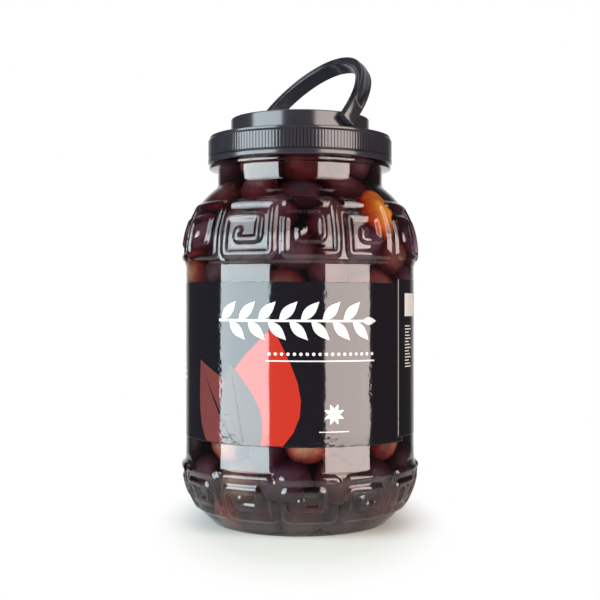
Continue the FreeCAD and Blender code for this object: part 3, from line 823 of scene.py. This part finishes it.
# %% Lay out the print
PRINT_FOOT = LABEL_LOW + 0.6
FAN_ROOT = (-31, PRINT_FOOT - 17)
STEM, BEADS, RULE, BLOCK = LABEL_LOW + 73, LABEL_LOW + 53.8, LABEL_LOW + 49.4, LABEL_LOW + 73
UNDER_END = 30


def draw_print(bm):
    """Every field, while the label still lies flat."""
    # three broad leaves that fan out from below the label's edge, two of them with a vein
    leaf(bm, FAN_ROOT, 87, 50, 80, RED, 1)
    leaf(bm, FAN_ROOT, 76, 40, 121, DUSTY, 2)
    leaf(bm, FAN_ROOT, 66, 30, 101, BROWN, 3)
    for length, angle in ((70, 121), (60, 101)):
        leaf(bm, FAN_ROOT, length, 1.5, angle, BLACK, 4)
    below = list(bm.faces) + list(bm.edges) + list(bm.verts)
    cut = {"plane_co": (0, 0, PRINT_FOOT), "plane_no": (0, 0, -1), "clear_outer": True}
    bmesh.ops.bisect_plane(bm, geom=below, dist=1e-5, **cut)
    # a sprig of leaves across the middle
    bar(bm, -52, 39, STEM - 0.7, STEM + 0.7)
    for number in range(7):
        root = -50 + number * 12.6
        leaf(bm, (root, STEM), 15.5, 6.2, 46)
        leaf(bm, (root + 6, STEM), 15.5, 6.2, -46)
    leaf(bm, (38, STEM), 10, 4.6, 0)
    # a row of beads and a rule under it
    for number in range(18):
        bead(bm, (-18 + number * 3.7, BEADS), 1.0)
    bar(bm, -20, 46.5, RULE, RULE + 0.8)
    # a rosette over a short rule at the lower right
    for petal in range(8):
        leaf(bm, (20, LABEL_LOW + 19), 6.4, 2.4, petal * 45 + 22.5)
    bar(bm, 11, 29, LABEL_LOW + 8.6, LABEL_LOW + 9.2)
    # three rules far round to the left
    for number in range(3):
        low = LABEL_LOW + 36 + number * 4
        bar(bm, -101, -94 - number, low, low + 1.2)
    # the part beyond the seam, with its block and fine rules
    bar(bm, 77, 95, BLOCK, BLOCK + 14)
    for number in range(14):
        low = LABEL_LOW + 42 + number * 1.9
        bar(bm, 77.5, 88 - (number % 3) * 2, low, low + 0.7)


def wind_print():
    """Winds the drawn fields onto the film, further out where the outer end lies over the inner."""
    bm = bmesh.new()
    draw_print(bm)
    for vert in bm.verts:
        from_front = math.degrees(vert.co.x / LABEL_RADIUS)
        radius = LABEL_RADIUS + LABEL_THICK + INK_RISE * vert.co.y
        if 0 <= from_front - SEAM_TURN < UNDER_END:
            radius += LIFTED
        vert.co = on_film(radius, from_front, (from_front - SEAM_TURN) % 360, vert.co.z)
    turn_outwards(bm)
    return bm


codes = {"red": "91251A", "dusty_red": "5A2C2A", "brown": "3A2E2C", "white": "B4B3B0"}
inks = [make_film("ink_" + name, code) for name, code in codes.items()] + [black_film]
make_piece(wind_print(), "label_print", inks, "tub", None)

# %% [markdown]
# ## The lid
# The lid is injection-moulded black polypropylene: a skirt with fine grip ribs, a plain band under
# them, a flat ring and a raised disc. The section is spun with five columns of points for every rib.
# Four of them step outwards, and the fifth stays back as a narrow groove. The rows above the ribs
# slope back to the lid's rounded edge.

# %% Black polypropylene


def make_polypropylene(name, roughness):
    """Moulded black polypropylene: satin, with a skin that mirrors lamps softly."""
    material, tree = start_material(name)
    space = add_node(tree, "TexCoord").outputs["Object"]
    flow = add_node(tree, "TexNoise", {"Vector": space, "Scale": 1 / (18 * MM), "Detail": 3.0})
    scuff = add_node(tree, "TexNoise", {"Vector": space, "Scale": 1 / (0.8 * MM), "Detail": 2.0})
    uneven = add_node(tree, "MapRange", {0: flow, 3: roughness * 0.8, 4: roughness * 1.3})
    skin = {"Base Color": linear("242227"), "Roughness": uneven, "IOR": 1.5}
    return finish_material(material, skin, scuff, 0.1, 0.03)


lid_plastic = make_polypropylene("polypropylene_black_moulded", 0.17)
print("lid's plastic:", lid_plastic.name)

# %% The lid's section and its ribs
LID, LID_WALL, LID_LOW, RING, DISC, DISC_TOP = 57.6, 1.8, 225.966, 243.666, 44.1, 254.966
BEAD, BEAD_ROUND, BEAD_TOP, RIBS_TOP = 1.1, 0.7, LID_LOW + 4.0, LID_LOW + 16.5
RIBS, RIB_DEPTH = 176, 0.95
# for each of a rib's five columns: how far it steps out, and how far it moves round towards the next
RIB_STEPS = (0.0, 0.96, 1.0, 1.0, 0.96)
RIB_SHIFTS = (0.0, -0.5, 0.0, 0.0, 0.5)

skirt = [(LID - LID_WALL, LID_LOW), (LID, LID_LOW, 0.3)]
skirt += [(LID + BEAD, LID_LOW + BEAD_ROUND, 0.5), (LID + BEAD, BEAD_TOP - BEAD_ROUND, 0.5)]
skirt += [(LID, BEAD_TOP), (LID, BEAD_TOP + 0.1), (LID, BEAD_TOP + 0.5)]
skirt += [(LID, RIBS_TOP - 1.8), (LID, RIBS_TOP - 0.4), (LID, RING, 1.5)]
top = [(DISC, RING, 0.4), (DISC, DISC_TOP, 0.9), (DISC - 3.5, DISC_TOP), (0, DISC_TOP)]
under = [(0, DISC_TOP - LID_WALL), (DISC - LID_WALL, DISC_TOP - LID_WALL), (DISC - LID_WALL, RIM)]
under += [(LID - LID_WALL, RIM), (LID - LID_WALL, LID_LOW)]
lid_section = rounded(skirt + top + under, support=0.15)
lid_mesh = turn_round(lid_section, RIBS * len(RIB_STEPS))


def raise_ribs(bm):
    """Steps the ribs out, and turns their outer columns towards the groove to narrow it."""
    columns = len(RIB_STEPS)
    for vert in bm.verts:
        on_skirt = math.hypot(vert.co.x, vert.co.y) > LID - 0.2
        if on_skirt and BEAD_TOP + 0.3 < vert.co.z < RIBS_TOP - 1.0:
            angle = math.atan2(vert.co.y, vert.co.x) / FULL_TURN * RIBS
            in_rib = round((angle % 1) * columns) % columns
            nearer = RIB_SHIFTS[in_rib] * FULL_TURN / RIBS / columns
            vert.co.xy = Matrix.Rotation(nearer, 2) @ vert.co.xy
            push_out(vert, RIB_STEPS[in_rib] * RIB_DEPTH)


raise_ribs(lid_mesh)
make_piece(lid_mesh, "screw_lid", [lid_plastic], "tub", "lid", sharp=28)

# %% [markdown]
# ## The handle
# The handle is one bow of the same plastic. Its two sides are hollowed into channels, which keeps
# moulded parts stiff and even in thickness, with a rib left across at the top and full blocks at the
# feet. The bow is built upright in its own plane: an edge across the strap is drawn up the leg, spun
# half round and drawn down again. Then the flat strip is drawn out to its width in two halves, the
# line between them steps out a little for a faint ridge, and both sides are hollowed. A pin at each
# foot runs into the disc.

# %% The bow's flat strip
BOW, STRAP, STRAP_WIDE = 44.9, 5.8, 9.4
LEG_RISE, FOOT_END, FOOT_BLOCK = 6.1, 2.3, 9.0
CHANNEL, CHANNEL_RIM, APEX_RIB, ROOF = 1.4, 1.3, 2.4, 0.55
ARC_STEPS = 26


def flat_strip():
    """The flat strip: up one leg, round the bow, down the other."""
    bm = bmesh.new()
    edge = bm.edges.new([bm.verts.new((radius, 0, -FOOT_END)) for radius in (BOW, BOW + STRAP)])

    def draw(edge, rise):
        moved = bmesh.ops.extrude_edge_only(bm, edges=[edge])["geom"]
        bmesh.ops.translate(bm, vec=(0, 0, rise), verts=only(BMVert, moved))
        return only(BMEdge, moved)[0]

    def sweep(edge, angle, steps):
        about = {"cent": (0, 0, LEG_RISE), "axis": (0, -1, 0)}
        spun = bmesh.ops.spin(bm, geom=list(edge.verts) + [edge], angle=angle, steps=steps, **about)
        return only(BMEdge, spun["geom_last"])[0]

    block = math.asin((FOOT_BLOCK - LEG_RISE) / BOW)
    rib = (APEX_RIB - CHANNEL_RIM) / BOW
    quarter = math.pi / 2 - block - rib
    for rise in (FOOT_END, LEG_RISE):
        edge = draw(edge, rise)
    for angle, steps in ((block, 2), (quarter, ARC_STEPS), (rib * 2, 2), (quarter, ARC_STEPS), (block, 2)):
        edge = sweep(edge, angle, steps)
    for rise in (-LEG_RISE, -FOOT_END):
        edge = draw(edge, rise)
    bmesh.ops.recalc_face_normals(bm, faces=bm.faces)
    return bm


bow_mesh = flat_strip()
print("faces of the flat strip:", len(bow_mesh.faces))

# %% Give it width, a ridge and its channels


def is_channel(face):
    """Faces of one side between the foot block and the rib at the top."""
    middle = face.calc_center_median()
    return middle.z > FOOT_BLOCK and abs(middle.x) > APEX_RIB - CHANNEL_RIM


def widen(bm):
    """Draws the strip out to its width, and steps the line down its middle outwards."""
    bmesh.ops.translate(bm, vec=(0, -STRAP_WIDE / 2, 0), verts=bm.verts)
    layer = list(bm.faces)
    for half in range(2):
        made = bmesh.ops.extrude_face_region(bm, geom=layer, use_keep_orig=half == 0)["geom"]
        layer = only(BMFace, made)
        bmesh.ops.translate(bm, vec=(0, STRAP_WIDE / 2, 0), verts=only(BMVert, made))
    for vert in bm.verts:
        if abs(vert.co.y) < 0.01 and vert.co.z > -0.01:
            from_centre = Vector((vert.co.x, 0, max(vert.co.z - LEG_RISE, 0)))
            vert.co += from_centre.normalized() * ROOF
    bmesh.ops.recalc_face_normals(bm, faces=bm.faces)


def hollow(bm, side, hand):
    """Sinks one of the four channels: a side of the strap, on one half of the bow."""
    on_side = [face for face in bm.faces if face.normal.y * side > 0.9 and is_channel(face)]
    region = [face for face in on_side if face.calc_center_median().x * hand > 0]
    bmesh.ops.inset_region(bm, faces=region, thickness=CHANNEL_RIM, use_even_offset=True)
    made = bmesh.ops.extrude_face_region(bm, geom=region)["geom"]
    floor_points = only(BMVert, made)
    bmesh.ops.delete(bm, geom=region, context="FACES_ONLY")
    bmesh.ops.translate(bm, vec=(0, -side * CHANNEL, 0), verts=floor_points)


widen(bow_mesh)
for side in (-1, 1):
    for hand in (-1, 1):
        hollow(bow_mesh, side, hand)
bmesh.ops.remove_doubles(bow_mesh, verts=bow_mesh.verts, dist=1e-4)
bmesh.ops.recalc_face_normals(bow_mesh, faces=bow_mesh.faces)
print("faces with the channels:", len(bow_mesh.faces))

# %% Round its edges, add the pins and lean it on its hinge
EDGE_ROUND, SHARP_EDGE = 0.45, 50
PIN, PIN_END = 1.6, 41.9
HINGE, HINGE_TURN, LEAN = 250.366, 37.0, 36.5

corners = [edge for edge in bow_mesh.edges if edge.calc_face_angle(0) > math.radians(SHARP_EDGE)]
shape = {"segments": 8, "profile": 0.5, "affect": "EDGES", "material": -1, "clamp_overlap": True}
bmesh.ops.bevel(bow_mesh, geom=corners, offset=EDGE_ROUND, **shape)
for hand in (-1, 1):
    across = Matrix.Rotation(math.pi / 2, 4, "Y")
    middle = Matrix.Translation(((PIN_END + BOW + STRAP / 2) / 2 * hand, 0, 0))
    round_bar = {"cap_ends": True, "segments": 24, "radius1": PIN, "radius2": PIN}
    depth = BOW + STRAP / 2 - PIN_END
    bmesh.ops.create_cone(bow_mesh, depth=depth, matrix=middle @ across, **round_bar)
turned = Matrix.Rotation(math.radians(HINGE_TURN - 90), 4, "Z")
leaned = Matrix.Rotation(math.radians(-LEAN), 4, "X")
on_hinge = Matrix.Translation((0, 0, HINGE)) @ turned @ leaned
bmesh.ops.transform(bow_mesh, matrix=on_hinge, verts=bow_mesh.verts)
handle_plastic = make_polypropylene("polypropylene_black_handle", 0.15)
make_piece(bow_mesh, "carry_bow", [handle_plastic], "carry_handle", "handle", sharp=12)

# %% [markdown]
# ## Floor, light and camera
# The object stands on a pale floor in a white room. Two tall softboxes, one cool and one warm, stand
# left and right, a little in front: their mirror images are the upright bands on film and plastic.
# They are softboxes and not small lamps, so that the bands have straight edges, and their upper
# halves are dimmer, so that shoulder and lid don't glare. A weak one overhead lifts the lid's ring
# and disc. The floor is a disc that fades to white, small enough that the low rays of those mirror
# images pass beyond its edge.

# %% Floor
FLOOR_RADIUS, FADE_START, FADE_END = 400.0, 50.0, 96.0
FADE_DEPTH = 0.5


def make_floor_material():
    """A pale painted table that runs out into white, twice as far in depth as sideways."""
    material, tree = start_material("table_paint_pale")
    space = add_node(tree, "TexCoord").outputs["Object"]
    oval = add_node(tree, "Mapping", {"Vector": space, "Scale": (1.0, FADE_DEPTH, 1.0)})
    far = add_node(tree, "VectorMath", {0: oval}, operation="LENGTH")
    sockets = {0: far.outputs["Value"], 1: FADE_START * MM, 2: FADE_END * MM}
    fade = add_node(tree, "MapRange", sockets, interpolation_type="SMOOTHSTEP")
    skin = {"Base Color": linear("D6D8D2"), "Roughness": 0.8, "Specular IOR Level": 0.1}
    paint = add_node(tree, "BsdfPrincipled", skin)
    white = add_node(tree, "Emission", {"Color": (1, 1, 1, 1), "Strength": 1.0})
    rays = add_node(tree, "LightPath").outputs
    seen = add_node(tree, "Math", {0: fade, 1: rays["Is Camera Ray"]}, operation="MULTIPLY")
    both = add_node(tree, "MixShader", {0: seen, 1: paint, 2: white})
    add_node(tree, "OutputMaterial", {"Surface": both})
    return material


floor_mesh = bmesh.new()
bmesh.ops.create_circle(floor_mesh, cap_ends=True, segments=96, radius=FLOOR_RADIUS * MM)
floor_data = bpy.data.meshes.new("floor")
floor_mesh.to_mesh(floor_data)
floor_mesh.free()
floor_data.materials.append(make_floor_material())
add_object("floor", floor_data)
print("floor:", FLOOR_RADIUS, "mm in radius")

# %% World
BEHIND_LIGHT, FRONT_LIGHT = 1.0, 0.05
BEHIND_START, BEHIND_FULL = 0.8, 1.0

world = bpy.data.worlds.new("white_room")
world.use_nodes = True
bpy.context.scene.world = world
tree = world.node_tree
tree.nodes.clear()
direction = add_node(tree, "TexCoord").outputs["Generated"]
parts = add_node(tree, "SeparateXYZ", {0: direction})
sockets = {0: parts.outputs[1], 1: BEHIND_START, 2: BEHIND_FULL, 3: FRONT_LIGHT, 4: BEHIND_LIGHT}
behind = add_node(tree, "MapRange", sockets, interpolation_type="SMOOTHSTEP")
rays = add_node(tree, "LightPath").outputs
seen = add_node(tree, "Math", {0: behind, 1: rays["Is Camera Ray"]}, operation="MAXIMUM")
room = add_node(tree, "Background", {"Color": (1, 1, 1, 1), "Strength": seen})
add_node(tree, "OutputWorld", {"Surface": room})
print("room's light, behind and elsewhere:", BEHIND_LIGHT, FRONT_LIGHT)

# %% Softboxes
SOFTBOX_AWAY = 1.2
COOL, WARM = (0.82, 0.95, 1.0), (1.0, 0.86, 0.80)
# name, turn from the front, angle it spans, lower and upper edge in metres, colour, radiance
SOFTBOXES = [
    ("cool", -55.5, 53.0, -0.112, 0.6, COOL, 11.0),
    ("cool_high", -55.5, 53.0, 0.6, 1.5, COOL, 6.0),
    ("warm", 47.0, 46.0, -0.104, 0.6, WARM, 9.8),
    ("warm_high", 47.0, 46.0, 0.6, 1.5, WARM, 5.0),
]
OVERHEAD_SIZE, OVERHEAD_PLACE, OVERHEAD_TILT, OVERHEAD_RADIANCE = (0.9, 0.9), (0, 0.45, 1.3), -20.0, 1.2


def add_softbox(name, wide, tall, place, facing, colour, radiance):
    """A rectangle of light, as bright all over as its radiance says, that the camera doesn't see."""
    lamp = bpy.data.lights.new("softbox_" + name, "AREA")
    lamp.shape = "RECTANGLE"
    lamp.size, lamp.size_y, lamp.color = wide, tall, colour
    lamp.energy = radiance * math.pi * wide * tall
    box = add_object("softbox_" + name, lamp)
    box.location, box.rotation_euler = place, facing
    box.visible_camera = False
    print("softbox", name, round(wide, 3), "by", round(tall, 3), "m")


for name, azimuth, wide_angle, low, high, colour, radiance in SOFTBOXES:
    around = math.radians(azimuth)
    place = (SOFTBOX_AWAY * math.sin(around), -SOFTBOX_AWAY * math.cos(around), (low + high) / 2)
    wide = 2 * SOFTBOX_AWAY * math.tan(math.radians(wide_angle / 2))
    add_softbox(name, wide, high - low, place, (math.pi / 2, 0, around), colour, radiance)
tilted = (math.radians(OVERHEAD_TILT), 0, 0)
add_softbox("overhead", *OVERHEAD_SIZE, OVERHEAD_PLACE, tilted, (1, 1, 1), OVERHEAD_RADIANCE)

# %% Camera
CAMERA_AWAY, CAMERA_LEVEL, CAMERA_LENS = 0.705, 0.1401, 66.0
camera_data = bpy.data.cameras.new("camera")
camera_data.lens = CAMERA_LENS
camera = add_object("camera", camera_data)
camera.location = (0, -CAMERA_AWAY, CAMERA_LEVEL)
camera.rotation_euler = (math.pi / 2, 0, 0)
bpy.context.scene.camera = camera
bpy.context.scene.view_settings.view_transform = "Standard"
print("camera:", CAMERA_AWAY, "m in front,", CAMERA_LEVEL, "m up, lens", CAMERA_LENS, "mm")
